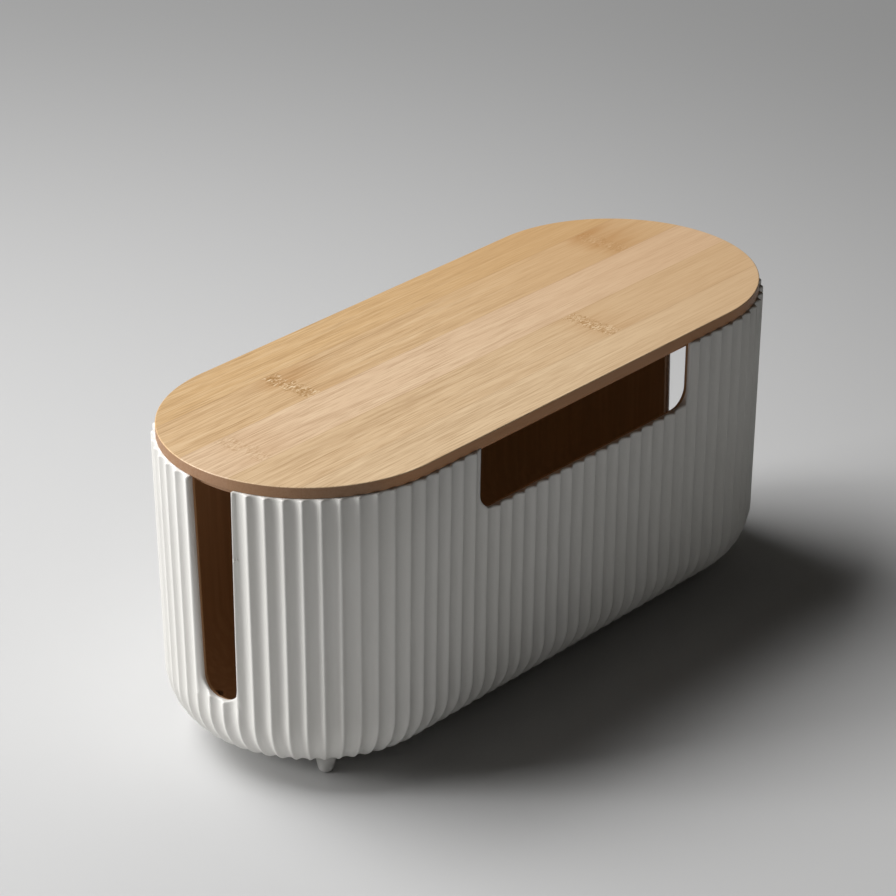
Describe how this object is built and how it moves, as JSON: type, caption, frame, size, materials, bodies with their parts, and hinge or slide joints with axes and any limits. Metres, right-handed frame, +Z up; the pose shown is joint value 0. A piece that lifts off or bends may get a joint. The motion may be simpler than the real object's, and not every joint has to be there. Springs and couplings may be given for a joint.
{
  "type": "cable management box",
  "caption": "Oblong cable tidy box with round ends: fluted shell on peg feet, open cable slots, inner tub and lift-off wooden lid.",
  "frame": {"origin": "centre of the box in plan, on the surface that its feet stand on", "axes": "+X along the long side from the near end to the far end, +Y from the front (with the wide slot) to the rear, +Z up"},
  "size_m": [0.3307, 0.134, 0.1442],
  "materials": {
    "shell": "satin moulded white",
    "tub": "matt dark brown",
    "bamboo": "satin lacquered bamboo",
    "foot": "satin moulded white",
    "screw": "zinc plated"
  },
  "bodies": {
    "box": {"fluted_shell": "shell", "inner_tub": "tub", "foot_front_near": "foot", "foot_front_far": "foot", "foot_rear_near": "foot", "foot_rear_far": "foot", "foot_screws": "screw"},
    "lid": {"lid_board": "bamboo", "lid_locating_plate": "bamboo"}
  },
  "joints": [
    {"name": "lid_lift", "type": "slide", "parent": "box", "child": "lid", "axis": [0, 0, 1], "range_m": [0, 0.12]}
  ]
}
